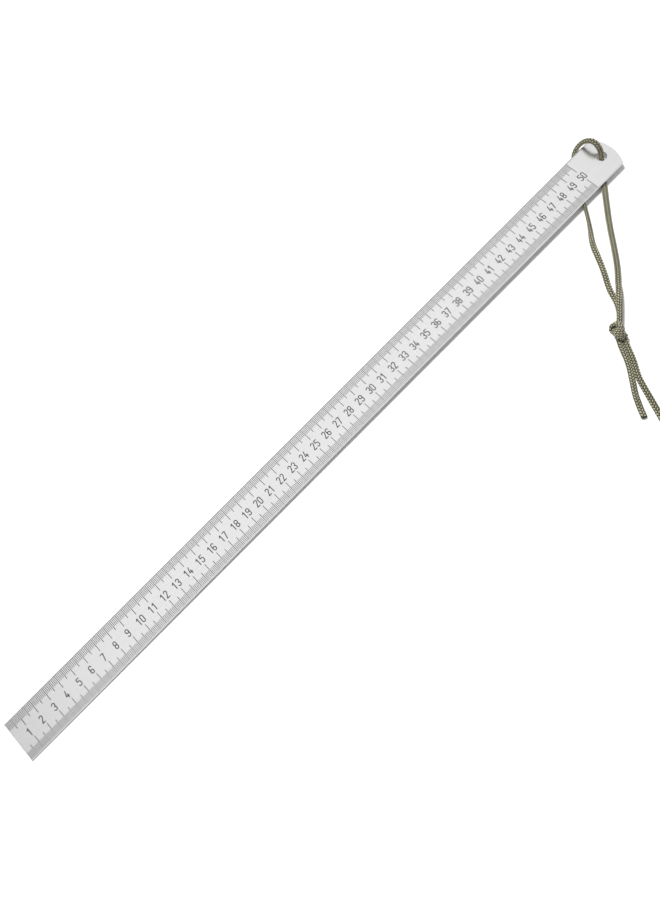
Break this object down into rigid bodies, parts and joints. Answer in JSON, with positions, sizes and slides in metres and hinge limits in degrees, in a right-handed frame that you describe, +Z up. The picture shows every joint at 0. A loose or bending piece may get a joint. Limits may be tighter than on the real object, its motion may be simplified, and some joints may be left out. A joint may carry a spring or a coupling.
{
  "type": "steel ruler",
  "caption": "Half-metre steel ruler with black millimetre scales on both edges, centimetre figures, a hanging hole and a knotted braided cord.",
  "frame": {"origin": "middle of the blade's outline, on the surface that the ruler lies on", "axes": "+X along the scale from zero to 500 mm, +Y across the blade so that the figures read upright, +Z up"},
  "size_m": [0.529, 0.1648, 0.0128],
  "materials": {
    "steel": "fine brushed stainless steel, satin at the tail",
    "black_fill": "matt black paint in the lines and figures",
    "cord": "olive drab braid"
  },
  "bodies": {
    "ruler": {"blade": "steel", "millimetre_marks": "black_fill", "half_centimetre_marks": "black_fill", "centimetre_marks": "black_fill", "numerals": "black_fill"},
    "cord": {"front_strand": "cord", "back_strand": "cord", "knot": "cord", "short_tail": "cord", "long_tail": "cord"}
  },
  "joints": [
    {"name": "cord_swing", "type": "hinge", "parent": "ruler", "child": "cord", "pos_m": [0.25499, 0, 0.00415], "axis": [-0.007, 0, 1], "range_deg": [-30, 10]}
  ]
}
